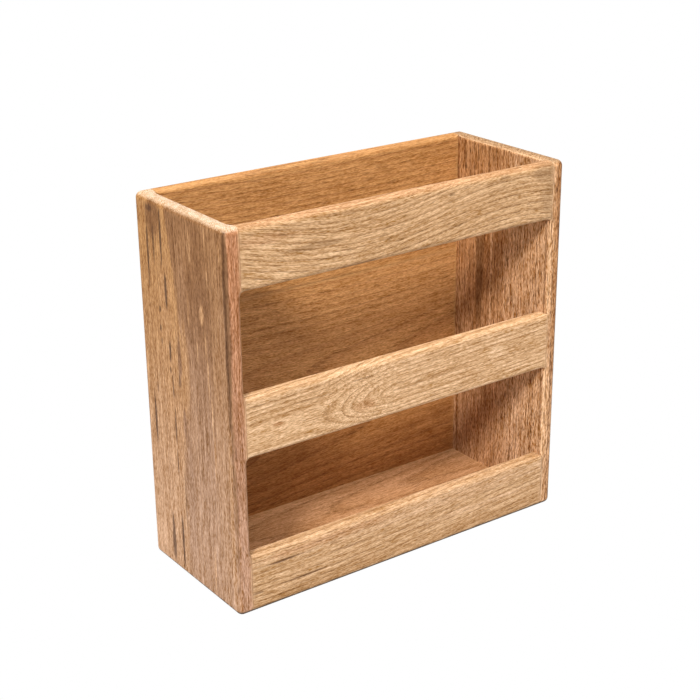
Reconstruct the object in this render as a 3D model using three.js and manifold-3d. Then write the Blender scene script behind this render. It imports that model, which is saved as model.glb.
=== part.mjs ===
// A magazine rack: an open-topped box of thin teak boards, for one row of magazines.
//
// Two full-height sides carry three front slats, three back boards and a bottom board between them.
// Every board meets the sides in a butt joint that is held by glue and by two blind dowels at each end.
// After the boards are glued up, the outside of the box and the edges of its openings are rounded over.
//
// Millimetres. +X runs to the right side, +Y to the back, +Z up. The origin is on the floor, at the middle
// of the footprint.

import * as THREE from 'three';
import { mergeVertices } from 'three/addons/utils/BufferGeometryUtils.js';
import { RoundedBoxGeometry } from 'three/addons/geometries/RoundedBoxGeometry.js';
import Module from 'manifold-3d';

const wasm = await Module();
wasm.setup();

// ---- Driving dimensions ----

// The whole box, outside to outside.
const WIDTH = 248;
const DEPTH = 102;
const HEIGHT = 239;

// Board thicknesses.
const SIDE_THICKNESS = 9.5;
const SLAT_THICKNESS = 8;
const BACK_THICKNESS = 9.5;
const BOTTOM_THICKNESS = 8;

// The open front: slats of one height, evenly spaced from the floor to the rim.
const SLAT_HEIGHT = 37.5;
const SLAT_NAMES = ['bottom_slat', 'middle_slat', 'top_slat'];

// The back is glued up from boards of one height.
const BACK_BOARD_NAMES = ['back_board_bottom', 'back_board_middle', 'back_board_top'];

// Rounding of the arrises. A cutter that follows an opening leaves its corners round on the face.
const OUTER_ARRIS_RADIUS = 4;
const OPENING_ARRIS_RADIUS = 3;
const OPENING_CORNER_RADIUS = 3;
const ARC_SEGMENTS = 4;

// Glue lines between neighbouring boards.
const GLUE_LINE = 0.2;

// Blind dowels, and the bores they are glued into.
const DOWEL_DIAMETER = 4;
const DOWEL_LENGTH = 16;
const DOWEL_DEPTH_IN_SIDE = 5;
const DOWEL_CHAMFER = 0.6;
const DOWEL_SEGMENTS = 12;
const BORE_CLEARANCE = 0.2;
const BORE_EXTRA_DEPTH = 0.5;
const SLAT_DOWEL_SPACING = 18;
const BACK_DOWEL_SPACING = 44;
const BOTTOM_DOWEL_SPACING = 48;

// How far a cutter or a rough board reaches past the surface that it makes or loses.
const OVERSHOOT = 5;

// ---- Worked-out places ----

const LEFT = -WIDTH / 2;
const RIGHT = WIDTH / 2;
const FRONT = -DEPTH / 2;
const BACK = DEPTH / 2;

const POCKET_LEFT = LEFT + SIDE_THICKNESS;
const POCKET_RIGHT = RIGHT - SIDE_THICKNESS;
const POCKET_FRONT = FRONT + SLAT_THICKNESS;
const POCKET_BACK = BACK - BACK_THICKNESS;
const POCKET_WIDTH = POCKET_RIGHT - POCKET_LEFT;
const POCKET_DEPTH = POCKET_BACK - POCKET_FRONT;

const SLAT_PITCH = (HEIGHT - SLAT_HEIGHT) / (SLAT_NAMES.length - 1);
const WINDOW_HEIGHT = SLAT_PITCH - SLAT_HEIGHT;
const BACK_BOARD_PITCH = HEIGHT / BACK_BOARD_NAMES.length;

// ---- Finishes ----

const OILED_TEAK_ROUGHNESS = 0.55;
const DRY_DOWEL_ROUGHNESS = 0.8;

const FINISHES = {
  left_side: { color: 0xa87b4d, roughness: OILED_TEAK_ROUGHNESS },
  right_side: { color: 0xb07a4e, roughness: OILED_TEAK_ROUGHNESS },
  slat: { color: 0xd1a26c, roughness: OILED_TEAK_ROUGHNESS },
  back_board: { color: 0xb9803f, roughness: OILED_TEAK_ROUGHNESS },
  bottom_board: { color: 0xa3774a, roughness: OILED_TEAK_ROUGHNESS },
  dowel: { color: 0xd8bd92, roughness: DRY_DOWEL_ROUGHNESS },
};

// ---- Solids ----

/** Turns a closed geometry into a solid that can be cut and joined. */
function solidFrom(geometry) {
  const bare = geometry.clone();
  bare.deleteAttribute('normal');
  bare.deleteAttribute('uv');
  const merged = mergeVertices(bare);
  return new wasm.Manifold(new wasm.Mesh({
    numProp: 3,
    vertProperties: Float32Array.from(merged.attributes.position.array),
    triVerts: Uint32Array.from(merged.index.array),
  }));
}

/** Turns a solid back into a flat-faced geometry. */
function geometryFrom(solid) {
  const mesh = solid.getMesh();
  const geometry = new THREE.BufferGeometry();
  geometry.setAttribute('position', new THREE.BufferAttribute(mesh.vertProperties, mesh.numProp));
  geometry.setIndex(new THREE.BufferAttribute(mesh.triVerts, 1));
  geometry.computeVertexNormals();
  return geometry;
}

/** A plain block between two corners. */
function block(low, high) {
  const size = high.map((value, axis) => value - low[axis]);
  const middle = high.map((value, axis) => (value + low[axis]) / 2);
  const geometry = new THREE.BoxGeometry(...size);
  geometry.translate(...middle);
  return solidFrom(geometry);
}

/** The outline of a rectangle with round corners, about its own centre. */
function roundedRectangle(width, height, cornerRadius) {
  const quarter = Math.PI / 2;
  const points = [];
  for (let corner = 0; corner < 4; corner += 1) {
    const signX = corner === 0 || corner === 3 ? 1 : -1;
    const signY = corner < 2 ? 1 : -1;
    for (let step = 0; step <= ARC_SEGMENTS; step += 1) {
      const angle = (corner + step / ARC_SEGMENTS) * quarter;
      points.push(new THREE.Vector2(
        signX * (width / 2 - cornerRadius) + cornerRadius * Math.cos(angle),
        signY * (height / 2 - cornerRadius) + cornerRadius * Math.sin(angle),
      ));
    }
  }
  return new THREE.Shape(points);
}

/**
 * The cutter that rounds over the arris of an opening. It stands on -Z with its wide end at z = 0: the
 * opening's own outline below, which flares out through a quarter circle up to the face. An extrusion
 * whose bevel is turned inside out has that flare at both ends, and the far half is cut away.
 */
function roundoverCutter(width, height) {
  const reach = OPENING_ARRIS_RADIUS + OVERSHOOT;
  const geometry = new THREE.ExtrudeGeometry(roundedRectangle(width, height, OPENING_CORNER_RADIUS), {
    depth: 2 * reach,
    bevelThickness: OPENING_ARRIS_RADIUS,
    bevelSize: -OPENING_ARRIS_RADIUS,
    bevelOffset: OPENING_ARRIS_RADIUS,
    bevelSegments: ARC_SEGMENTS,
  });
  geometry.translate(0, 0, -2 * reach - OPENING_ARRIS_RADIUS);
  const nearHalf = block([-width, -height, -reach], [width, height, 0]);
  return solidFrom(geometry).intersect(nearHalf);
}

/** The box with all its outer arrises rounded, which every board is trimmed to. */
function outerEnvelope() {
  const geometry = new RoundedBoxGeometry(WIDTH, DEPTH, HEIGHT, ARC_SEGMENTS, OUTER_ARRIS_RADIUS);
  geometry.translate(0, 0, HEIGHT / 2);
  return solidFrom(geometry);
}

/** The cutter for the rim of the pocket. */
function mouthCutter() {
  return roundoverCutter(POCKET_WIDTH, POCKET_DEPTH)
    .translate([0, (POCKET_FRONT + POCKET_BACK) / 2, HEIGHT]);
}

/** The cutters for the front arrises of the windows between the slats. */
function windowCutters() {
  const facingFront = roundoverCutter(POCKET_WIDTH, WINDOW_HEIGHT).rotate([90, 0, 0]);
  const cutters = [];
  for (let index = 0; index < SLAT_NAMES.length - 1; index += 1) {
    const middle = index * SLAT_PITCH + SLAT_HEIGHT + WINDOW_HEIGHT / 2;
    cutters.push(facingFront.translate([0, FRONT, middle]));
  }
  return cutters;
}

// ---- Dowels ----

/** A dowel with chamfered ends, lying along X about its own centre. */
function dowelGeometry() {
  const radius = DOWEL_DIAMETER / 2;
  const halfLength = DOWEL_LENGTH / 2;
  const profile = [
    new THREE.Vector2(0, -halfLength),
    new THREE.Vector2(radius - DOWEL_CHAMFER, -halfLength),
    new THREE.Vector2(radius, -halfLength + DOWEL_CHAMFER),
    new THREE.Vector2(radius, halfLength - DOWEL_CHAMFER),
    new THREE.Vector2(radius - DOWEL_CHAMFER, halfLength),
    new THREE.Vector2(0, halfLength),
  ];
  const geometry = new THREE.LatheGeometry(profile, DOWEL_SEGMENTS);
  geometry.rotateZ(-Math.PI / 2);
  return geometry;
}

/** The two blind bores, one in the side and one in the board's end, that take one dowel. */
function boreCutter({ x, y, z }) {
  const radius = DOWEL_DIAMETER / 2 + BORE_CLEARANCE;
  const length = DOWEL_LENGTH + 2 * BORE_EXTRA_DEPTH;
  const geometry = new THREE.CylinderGeometry(radius, radius, length, DOWEL_SEGMENTS);
  geometry.rotateZ(-Math.PI / 2);
  geometry.translate(x, y, z);
  return solidFrom(geometry);
}

/** The dowels of one board: two at its left end and two at its right end. */
function dowelsFor(board) {
  const { spreadAlong, spacing } = board.dowels;
  const centre = { y: (board.low[1] + board.high[1]) / 2, z: (board.low[2] + board.high[2]) / 2 };
  const fromSideFace = DOWEL_LENGTH / 2 - DOWEL_DEPTH_IN_SIDE;
  const ends = [
    { name: 'left', x: POCKET_LEFT + fromSideFace },
    { name: 'right', x: POCKET_RIGHT - fromSideFace },
  ];
  return ends.flatMap((end) => [-1, 1].map((sign, index) => {
    const place = { x: end.x, ...centre };
    place[spreadAlong] += sign * spacing / 2;
    return { name: `${board.name}_dowel_${end.name}_${index + 1}`, place };
  }));
}

// ---- Boards ----
// A rough board runs past the envelope wherever its own face is an outer face of the box.

/** One of the two sides. */
function sideBoard(name, xLow, xHigh) {
  return {
    name,
    finish: FINISHES[name],
    low: [xLow, FRONT - OVERSHOOT, -OVERSHOOT],
    high: [xHigh, BACK + OVERSHOOT, HEIGHT + OVERSHOOT],
  };
}

/** A board that lies between the two sides, from one glue line to the other. */
function crossBoard(name, finish, [yLow, yHigh], [zLow, zHigh], dowels) {
  return {
    name,
    finish,
    dowels,
    low: [POCKET_LEFT + GLUE_LINE, yLow, zLow],
    high: [POCKET_RIGHT - GLUE_LINE, yHigh, zHigh],
  };
}

/** The three front slats, from the floor up. */
function frontSlats() {
  const dowels = { spreadAlong: 'z', spacing: SLAT_DOWEL_SPACING };
  return SLAT_NAMES.map((name, index) => {
    const foot = index * SLAT_PITCH;
    return crossBoard(name, FINISHES.slat, [FRONT, POCKET_FRONT], [foot, foot + SLAT_HEIGHT], dowels);
  });
}

/** The boards of the back, glued edge to edge, from the floor up. */
function backBoards() {
  const dowels = { spreadAlong: 'z', spacing: BACK_DOWEL_SPACING };
  return BACK_BOARD_NAMES.map((name, index) => {
    const foot = index === 0 ? 0 : index * BACK_BOARD_PITCH + GLUE_LINE / 2;
    const isTop = index === BACK_BOARD_NAMES.length - 1;
    const head = isTop ? HEIGHT : (index + 1) * BACK_BOARD_PITCH - GLUE_LINE / 2;
    return crossBoard(name, FINISHES.back_board, [POCKET_BACK, BACK], [foot, head], dowels);
  });
}

/** The board that closes the pocket below. */
function bottomBoard() {
  const dowels = { spreadAlong: 'y', spacing: BOTTOM_DOWEL_SPACING };
  return crossBoard(
    'bottom_board',
    FINISHES.bottom_board,
    [POCKET_FRONT + GLUE_LINE, POCKET_BACK - GLUE_LINE],
    [0, BOTTOM_THICKNESS],
    dowels,
  );
}

// ---- The assembly ----

/** A named mesh with its own finish. */
function namedMesh(name, geometry, finish) {
  const material = new THREE.MeshStandardMaterial({ ...finish, metalness: 0, flatShading: true });
  const mesh = new THREE.Mesh(geometry, material);
  mesh.name = name;
  return mesh;
}

/** Builds the whole rack. */
function buildRack() {
  const crossBoards = [...frontSlats(), ...backBoards(), bottomBoard()];
  const boards = [
    sideBoard('left_side', LEFT - OVERSHOOT, POCKET_LEFT),
    sideBoard('right_side', POCKET_RIGHT, RIGHT + OVERSHOOT),
    ...crossBoards,
  ];
  const dowels = crossBoards.flatMap(dowelsFor);

  const envelope = outerEnvelope();
  const cutters = [mouthCutter(), ...windowCutters(), ...dowels.map(({ place }) => boreCutter(place))];
  const allCuts = cutters.reduce((joined, cutter) => joined.add(cutter));

  const rack = new THREE.Group();
  rack.name = 'magazine_rack';
  for (const { name, finish, low, high } of boards) {
    const solid = block(low, high).intersect(envelope).subtract(allCuts);
    rack.add(namedMesh(name, geometryFrom(solid), finish));
  }
  for (const { name, place } of dowels) {
    const dowel = namedMesh(name, dowelGeometry(), FINISHES.dowel);
    dowel.position.set(place.x, place.y, place.z);
    rack.add(dowel);
  }
  return rack;
}

export default buildRack();
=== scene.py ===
"""A magazine rack in oiled teak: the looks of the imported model.

Two full-height sides carry three front slats, three back boards and a bottom board, which glue and blind dowels
hold together. Each board is cut from its rough size with the shapes of the router, as the real one is: the
outside of the box and the edges of its openings are rounded over. Each board also has its own piece of a teak
log, with growth rings round a pith, pores, fibre, sapwood and dark streaks. All of them are worked out in the
board's own directions, so that its faces, edges and end grain agree.

Metres, with the figure of the wood in millimetres. +X runs to the right side, +Y to the back, +Z up. The origin
is on the floor, at the middle of the footprint.
"""

import logging
import math
from dataclasses import dataclass, field
from enum import Enum
from typing import ClassVar

import bmesh
import bpy
from mathutils import Matrix, Vector


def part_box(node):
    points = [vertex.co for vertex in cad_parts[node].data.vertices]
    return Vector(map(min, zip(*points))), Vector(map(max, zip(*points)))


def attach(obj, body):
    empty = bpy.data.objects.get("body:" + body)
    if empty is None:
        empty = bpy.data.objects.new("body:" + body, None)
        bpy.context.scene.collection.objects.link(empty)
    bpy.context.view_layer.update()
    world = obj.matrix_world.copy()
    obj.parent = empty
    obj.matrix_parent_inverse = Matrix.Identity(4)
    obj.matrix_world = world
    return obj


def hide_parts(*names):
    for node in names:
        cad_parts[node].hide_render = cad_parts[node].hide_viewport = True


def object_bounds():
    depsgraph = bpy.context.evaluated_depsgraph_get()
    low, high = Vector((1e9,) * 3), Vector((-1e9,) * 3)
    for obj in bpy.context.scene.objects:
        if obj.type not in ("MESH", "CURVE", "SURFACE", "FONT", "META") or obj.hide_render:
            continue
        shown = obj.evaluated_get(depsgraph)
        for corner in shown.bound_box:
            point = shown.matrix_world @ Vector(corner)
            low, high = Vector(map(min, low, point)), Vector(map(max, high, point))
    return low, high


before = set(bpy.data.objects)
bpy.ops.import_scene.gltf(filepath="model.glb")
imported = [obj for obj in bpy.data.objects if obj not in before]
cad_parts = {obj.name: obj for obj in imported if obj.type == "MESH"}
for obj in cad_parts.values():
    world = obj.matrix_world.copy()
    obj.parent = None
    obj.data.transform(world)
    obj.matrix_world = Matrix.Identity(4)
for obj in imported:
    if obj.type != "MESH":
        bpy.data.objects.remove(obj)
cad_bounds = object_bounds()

LOG = logging.getLogger("magazine_rack")

BODY = "root"
MM = 0.001
MM_PER_METRE = 1000.0
SAME_PLACE = 1e-5

Triple = tuple[float, float, float]
Box = tuple[Vector, Vector]
Feed = bpy.types.NodeSocket | float | Triple


# ---- Choices ----


class Lie(Enum):
    """How a board lies: the directions that run across, through and along its grain."""

    UPRIGHT_GRAIN = ((0.0, 1.0, 0.0), (1.0, 0.0, 0.0), (0.0, 0.0, 1.0))
    LEVEL_GRAIN_ON_EDGE = ((0.0, 0.0, 1.0), (0.0, 1.0, 0.0), (1.0, 0.0, 0.0))
    LEVEL_GRAIN_FLAT = ((0.0, 1.0, 0.0), (0.0, 0.0, 1.0), (1.0, 0.0, 0.0))


class Carving(Enum):
    """What a tool does to a board."""

    TRIM_TO = "INTERSECT"
    CUT_AWAY = "DIFFERENCE"


class StreakKind(Enum):
    """What a streak in the wood is; the same kinds also tint bands of painted light and painted shade."""

    MINERAL = "mineral"
    HEART = "heart"
    SAP = "sap"
    PALE = "pale"
    RED = "red"


# ---- Mesh tools ----


def link_object(name: str, shape: bmesh.types.BMesh) -> bpy.types.Object:
    """Puts a finished shape into the scene.

    Args:
        name: The new object's name.
        shape: The shape, which is freed.

    Returns:
        The object that holds it.
    """
    mesh = bpy.data.meshes.new(name)
    shape.to_mesh(mesh)
    shape.free()
    piece = bpy.data.objects.new(name, mesh)
    bpy.context.scene.collection.objects.link(piece)
    return piece


def block_shape(low: Vector, high: Vector) -> bmesh.types.BMesh:
    """A plain block between two corners."""
    shape = bmesh.new()
    bmesh.ops.create_cube(shape, size=1.0)
    middle = (low + high) / 2
    for vertex in shape.verts:
        vertex.co = middle + Vector(c * s for c, s in zip(vertex.co, high - low))
    return shape


def loft_shape(sections: list[list[Vector]]) -> bmesh.types.BMesh:
    """A closed solid through a row of outlines that all have the same number of points.

    Args:
        sections: The outlines in order, each a closed loop of points.

    Returns:
        The solid, with a flat cap at both ends and its faces turned outwards.
    """
    shape = bmesh.new()
    loops = [[shape.verts.new(point) for point in section] for section in sections]
    for near, far in zip(loops, loops[1:]):
        for index, vertex in enumerate(near):
            following = (index + 1) % len(near)
            shape.faces.new((vertex, near[following], far[following], far[index]))
    shape.faces.new(reversed(loops[0]))
    shape.faces.new(loops[-1])
    bmesh.ops.recalc_face_normals(shape, faces=shape.faces)
    return shape


def settle(piece: bpy.types.Object) -> None:
    """Makes what the piece's modifiers give its own mesh, and drops the modifiers."""
    graph = bpy.context.evaluated_depsgraph_get()
    settled = bpy.data.meshes.new_from_object(piece.evaluated_get(graph))
    rough = piece.data
    piece.modifiers.clear()
    piece.data = settled
    bpy.data.meshes.remove(rough)


def carve(board: bpy.types.Object, tool: bpy.types.Object, carving: Carving) -> None:
    """Trims a board to a tool's shape, or cuts that shape out of it."""
    modifier = board.modifiers.new(carving.name.lower(), "BOOLEAN")
    modifier.operation = carving.value
    modifier.solver = "EXACT"
    modifier.object = tool
    settle(board)


# ---- Shapes of the router and the drill ----


@dataclass(frozen=True)
class Rounding:
    """How the arrises are worked after the boards are glued up."""

    outer_radius: float = 4.0 * MM
    opening_radius: float = 3.0 * MM
    opening_corner_radius: float = 3.0 * MM
    inner_easing: float = 0.35 * MM
    arc_steps: int = 10


@dataclass(frozen=True)
class RoundoverCutter:
    """The hollow that a roundover bit leaves when it follows the edge of a rectangular opening.

    The opening's own outline stands below, and flares out through a quarter circle up to the face.
    """

    width: float
    height: float
    rounding: Rounding
    overshoot: float = 5 * MM

    def outline(self, growth: float, level: float) -> list[Vector]:
        """The opening's outline with round corners, grown on all sides.

        Args:
            growth: How far the outline has moved out from the opening.
            level: Its height above the face.

        Returns:
            The points of the outline, counter-clockwise.
        """
        radius = self.rounding.opening_corner_radius + growth
        reach_x = self.width / 2 + growth - radius
        reach_y = self.height / 2 + growth - radius
        points = []
        for corner, (sign_x, sign_y) in enumerate(((1, 1), (-1, 1), (-1, -1), (1, -1))):
            for step in range(self.rounding.arc_steps + 1):
                angle = (corner + step / self.rounding.arc_steps) * math.pi / 2
                x = sign_x * reach_x + radius * math.cos(angle)
                y = sign_y * reach_y + radius * math.sin(angle)
                points.append(Vector((x, y, level)))
        return points

    def build(self, placement: Matrix) -> bmesh.types.BMesh:
        """The cutter, with its face level moved to where the placement says."""
        radius = self.rounding.opening_radius
        sections = [self.outline(0.0, -radius - self.overshoot)]
        for step in range(self.rounding.arc_steps + 1):
            angle = step / self.rounding.arc_steps * math.pi / 2
            growth = radius * (1 - math.cos(angle))
            level = -radius * (1 - math.sin(angle))
            sections.append(self.outline(growth, level))
        sections.append(self.outline(radius, self.overshoot))
        shape = loft_shape(sections)
        shape.transform(placement)
        return shape


@dataclass(frozen=True)
class Bore:
    """A blind bore along X that takes one dowel."""

    centre: Vector
    length: float
    radius: float
    sides: int = 24

    def build(self) -> bmesh.types.BMesh:
        """The cylinder that the drill takes away."""
        sections = []
        for end in (-1, 1):
            ring = []
            for side in range(self.sides):
                angle = math.tau * side / self.sides
                y = self.radius * math.cos(angle)
                z = self.radius * math.sin(angle)
                ring.append(self.centre + Vector((end * self.length / 2, y, z)))
            sections.append(ring)
        return loft_shape(sections)


@dataclass
class Workshop:
    """The tools that every board of the rack passes: the rounded envelope, and all that is cut away."""

    bounds: Box
    pocket: Box
    windows: list[tuple[float, float]]
    dowels: list[Box]
    rounding: Rounding = field(default_factory=Rounding)
    overshoot: float = 5 * MM
    bore_clearance: float = 0.04 * MM
    bore_extra_depth: float = 0.5 * MM
    envelope: bpy.types.Object | None = None
    cutters: bpy.types.Object | None = None

    def set_up(self) -> None:
        """Builds the tools."""
        low, high = self.bounds
        rounded = block_shape(low, high)
        bmesh.ops.bevel(
            rounded,
            geom=rounded.edges[:],
            offset=self.rounding.outer_radius,
            segments=self.rounding.arc_steps,
            profile=0.5,
            affect="EDGES",
        )
        self.envelope = link_object("envelope", rounded)

        joined = bmesh.new()
        for shape in (self.mouth_cutter(), *self.window_cutters(), *self.bore_cutters()):
            part = bpy.data.meshes.new("cutter")
            shape.to_mesh(part)
            shape.free()
            joined.from_mesh(part)
            bpy.data.meshes.remove(part)
        self.cutters = link_object("cutters", joined)

    def mouth_cutter(self) -> bmesh.types.BMesh:
        """The cutter for the rim of the pocket."""
        low, high = self.pocket
        cutter = RoundoverCutter(high.x - low.x, high.y - low.y, self.rounding)
        return cutter.build(Matrix.Translation((0.0, (low.y + high.y) / 2, self.bounds[1].z)))

    def window_cutters(self) -> list[bmesh.types.BMesh]:
        """The cutters for the front arrises of the windows between the slats."""
        low, high = self.pocket
        facing_front = Matrix.Rotation(math.pi / 2, 4, "X")
        cutters = []
        for sill, head in self.windows:
            cutter = RoundoverCutter(high.x - low.x, head - sill, self.rounding)
            place = Matrix.Translation((0.0, self.bounds[0].y, (sill + head) / 2))
            cutters.append(cutter.build(place @ facing_front))
        return cutters

    def bore_cutters(self) -> list[bmesh.types.BMesh]:
        """The bores for all dowels."""
        bores = []
        for low, high in self.dowels:
            length = high.x - low.x + 2 * self.bore_extra_depth
            radius = (high.z - low.z) / 2 + self.bore_clearance
            bores.append(Bore((low + high) / 2, length, radius).build())
        return bores

    def cut_board(self, name: str, low: Vector, high: Vector, is_pocket_face: bool) -> bpy.types.Object:
        """Cuts one board from its rough size.

        Args:
            name: The piece's name.
            low: The lowest corner of the board.
            high: Its highest corner.
            is_pocket_face: Whether the board's inner long arrises are open to the pocket and lightly eased.

        Returns:
            The finished board.
        """
        rough_low, rough_high = low.copy(), high.copy()
        for axis in range(3):
            if abs(low[axis] - self.bounds[0][axis]) < SAME_PLACE:
                rough_low[axis] -= self.overshoot
            if abs(high[axis] - self.bounds[1][axis]) < SAME_PLACE:
                rough_high[axis] += self.overshoot
        shape = block_shape(rough_low, rough_high)
        if is_pocket_face:
            self.ease_inner_arrises(shape, high.y)
        board = link_object(name, shape)
        carve(board, self.envelope, Carving.TRIM_TO)
        carve(board, self.cutters, Carving.CUT_AWAY)
        self.smooth(board)
        return board

    def ease_inner_arrises(self, shape: bmesh.types.BMesh, inner_face: float) -> None:
        """Takes the sharpness off the long arrises of a slat that face the pocket."""
        inner = [
            edge for edge in shape.edges
            if all(abs(vertex.co.y - inner_face) < SAME_PLACE for vertex in edge.verts)
            and abs(edge.verts[0].co.z - edge.verts[1].co.z) < SAME_PLACE
        ]
        bmesh.ops.bevel(
            shape, geom=inner, offset=self.rounding.inner_easing, segments=3, profile=0.5, affect="EDGES"
        )

    def smooth(self, board: bpy.types.Object) -> None:
        """Shades a board smoothly, with its crisp arrises kept crisp and its flat faces flat."""
        board.data.shade_smooth()
        board.data.set_sharp_from_angle(angle=math.radians(35))
        weighted = board.modifiers.new("flat_faces", "WEIGHTED_NORMAL")
        weighted.keep_sharp = True

    def clear_away(self) -> None:
        """Takes the tools out of the scene."""
        for tool in (self.envelope, self.cutters):
            mesh = tool.data
            bpy.data.objects.remove(tool)
            bpy.data.meshes.remove(mesh)


# ---- Node tools ----


def colour(code: str) -> tuple[float, float, float, float]:
    """The colour that a screen shows for a code such as "d4a674", as the renderer wants it."""
    channels = []
    for start in (0, 2, 4):
        shown = int(code[start:start + 2], 16) / 255
        channels.append(shown / 12.92 if shown <= 0.04045 else ((shown + 0.055) / 1.055) ** 2.4)
    return (*channels, 1.0)


def feed_socket(tree: bpy.types.NodeTree, socket: bpy.types.NodeSocket, feed: Feed) -> None:
    """Gives a socket its feed: a link from another socket, or a plain value."""
    if isinstance(feed, bpy.types.NodeSocket):
        tree.links.new(feed, socket)
    else:
        socket.default_value = feed


class Sheet:
    """A node tree that is being laid out, with short calls that add a node and feed its inputs."""

    def __init__(self, tree: bpy.types.NodeTree) -> None:
        """Starts on a node tree."""
        self.tree = tree

    def node(self, kind: str, feeds: dict[int | str, Feed] | None = None, **settings: object) -> bpy.types.Node:
        """Adds one node.

        Args:
            kind: The node's type.
            feeds: What each input gets: a link from a socket, or a plain value.
            **settings: The node's own properties.

        Returns:
            The new node.
        """
        node = self.tree.nodes.new(kind)
        for name, value in settings.items():
            setattr(node, name, value)
        for key, feed in (feeds or {}).items():
            feed_socket(self.tree, node.inputs[key], feed)
        return node

    def math(self, operation: str, *feeds: Feed) -> bpy.types.NodeSocket:
        """The result of one step of arithmetic on numbers."""
        return self.node("ShaderNodeMath", dict(enumerate(feeds)), operation=operation).outputs[0]

    def vector(self, operation: str, *feeds: Feed) -> bpy.types.NodeSocket:
        """The vector that one step of arithmetic on vectors gives."""
        return self.node("ShaderNodeVectorMath", dict(enumerate(feeds)), operation=operation).outputs["Vector"]

    def dot(self, one: Feed, other: Feed) -> bpy.types.NodeSocket:
        """How far one vector reaches along another."""
        feeds = {0: one, 1: other}
        return self.node("ShaderNodeVectorMath", feeds, operation="DOT_PRODUCT").outputs["Value"]

    def length(self, feed: Feed) -> bpy.types.NodeSocket:
        """A vector's length."""
        return self.node("ShaderNodeVectorMath", {0: feed}, operation="LENGTH").outputs["Value"]

    def split(self, feed: Feed) -> tuple[bpy.types.NodeSocket, ...]:
        """A vector's three numbers."""
        return tuple(self.node("ShaderNodeSeparateXYZ", {0: feed}).outputs)

    def join(self, *feeds: Feed) -> bpy.types.NodeSocket:
        """A vector from three numbers."""
        return self.node("ShaderNodeCombineXYZ", dict(enumerate(feeds))).outputs[0]

    def scale(self, feed: Feed, factor: Feed) -> bpy.types.NodeSocket:
        """A vector made longer or shorter."""
        feeds = {"Vector": feed, "Scale": factor}
        return self.node("ShaderNodeVectorMath", feeds, operation="SCALE").outputs["Vector"]

    def ramp(
        self, feed: Feed, low: Feed, high: Feed, to_low: float = 0.0, to_high: float = 1.0
    ) -> bpy.types.NodeSocket:
        """A soft step from one value to another while the input runs from low to high."""
        feeds = {0: feed, 1: low, 2: high, 3: to_low, 4: to_high}
        return self.node("ShaderNodeMapRange", feeds, interpolation_type="SMOOTHSTEP").outputs[0]

    def noise(self, place: Feed, detail: float = 2.0, roughness: float = 0.5) -> bpy.types.Node:
        """Noise whose spots are about one unit wide in the place that it is given."""
        feeds = {"Vector": place, "Scale": 1.0, "Detail": detail, "Roughness": roughness}
        return self.node("ShaderNodeTexNoise", feeds)

    def blend(self, amount: Feed, under: Feed, over: Feed) -> bpy.types.NodeSocket:
        """One colour laid over another by an amount."""
        node = self.node("ShaderNodeMix", data_type="RGBA")
        for identifier, feed in (("Factor_Float", amount), ("A_Color", under), ("B_Color", over)):
            socket = next(entry for entry in node.inputs if entry.identifier == identifier)
            feed_socket(self.tree, socket, feed)
        return next(entry for entry in node.outputs if entry.identifier == "Result_Color")


class Effect:
    """An effect that more than one material uses, kept as one node group that is built at its first use."""

    title: ClassVar[str]
    inputs: ClassVar[dict[str, float | Triple]]
    outputs: ClassVar[dict[str, str]]

    @classmethod
    def lay_out(cls, sheet: Sheet, given: dict[str, bpy.types.NodeSocket]) -> dict[str, bpy.types.NodeSocket]:
        """Lays out the group's nodes.

        Args:
            sheet: The group's own sheet.
            given: The group's inputs by name.

        Returns:
            What each of the group's outputs gets.
        """
        raise NotImplementedError

    @classmethod
    def tree(cls) -> bpy.types.NodeTree:
        """The group's node tree."""
        found = bpy.data.node_groups.get(cls.title)
        if found is not None:
            return found
        tree = bpy.data.node_groups.new(cls.title, "ShaderNodeTree")
        for name, value in cls.inputs.items():
            kind = "NodeSocketVector" if isinstance(value, tuple) else "NodeSocketFloat"
            tree.interface.new_socket(name=name, in_out="INPUT", socket_type=kind).default_value = value
        for name, kind in cls.outputs.items():
            tree.interface.new_socket(name=name, in_out="OUTPUT", socket_type=kind)
        entry = tree.nodes.new("NodeGroupInput")
        given = {name: entry.outputs[name] for name in cls.inputs}
        results = cls.lay_out(Sheet(tree), given)
        leaving = tree.nodes.new("NodeGroupOutput")
        for name, socket in results.items():
            tree.links.new(socket, leaving.inputs[name])
        return tree

    @classmethod
    def place(cls, sheet: Sheet, feeds: dict[str, Feed]) -> bpy.types.bpy_prop_collection:
        """Places the group in a material and returns its outputs."""
        group = sheet.tree.nodes.new("ShaderNodeGroup")
        group.node_tree = cls.tree()
        for name, feed in feeds.items():
            feed_socket(sheet.tree, group.inputs[name], feed)
        return group.outputs


NUMBER = "NodeSocketFloat"
VECTOR = "NodeSocketVector"


class BoardSpace(Effect):
    """Turns a place on the rack into a place in the board: across, through and along it, in millimetres."""

    title = "board space"
    inputs = {
        "Position": (0.0, 0.0, 0.0),
        "Centre": (0.0, 0.0, 0.0),
        "Across": (0.0, 1.0, 0.0),
        "Through": (1.0, 0.0, 0.0),
        "Along": (0.0, 0.0, 1.0),
    }
    outputs = {"Place": VECTOR}

    @classmethod
    def lay_out(cls, sheet: Sheet, given: dict[str, bpy.types.NodeSocket]) -> dict[str, bpy.types.NodeSocket]:
        """Measures from the board's centre along its three directions."""
        from_centre = sheet.vector("SUBTRACT", given["Position"], given["Centre"])
        metres = sheet.join(*(sheet.dot(from_centre, given[name]) for name in ("Across", "Through", "Along")))
        place = sheet.vector("MULTIPLY", metres, (MM_PER_METRE,) * 3)
        return {"Place": place}


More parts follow.
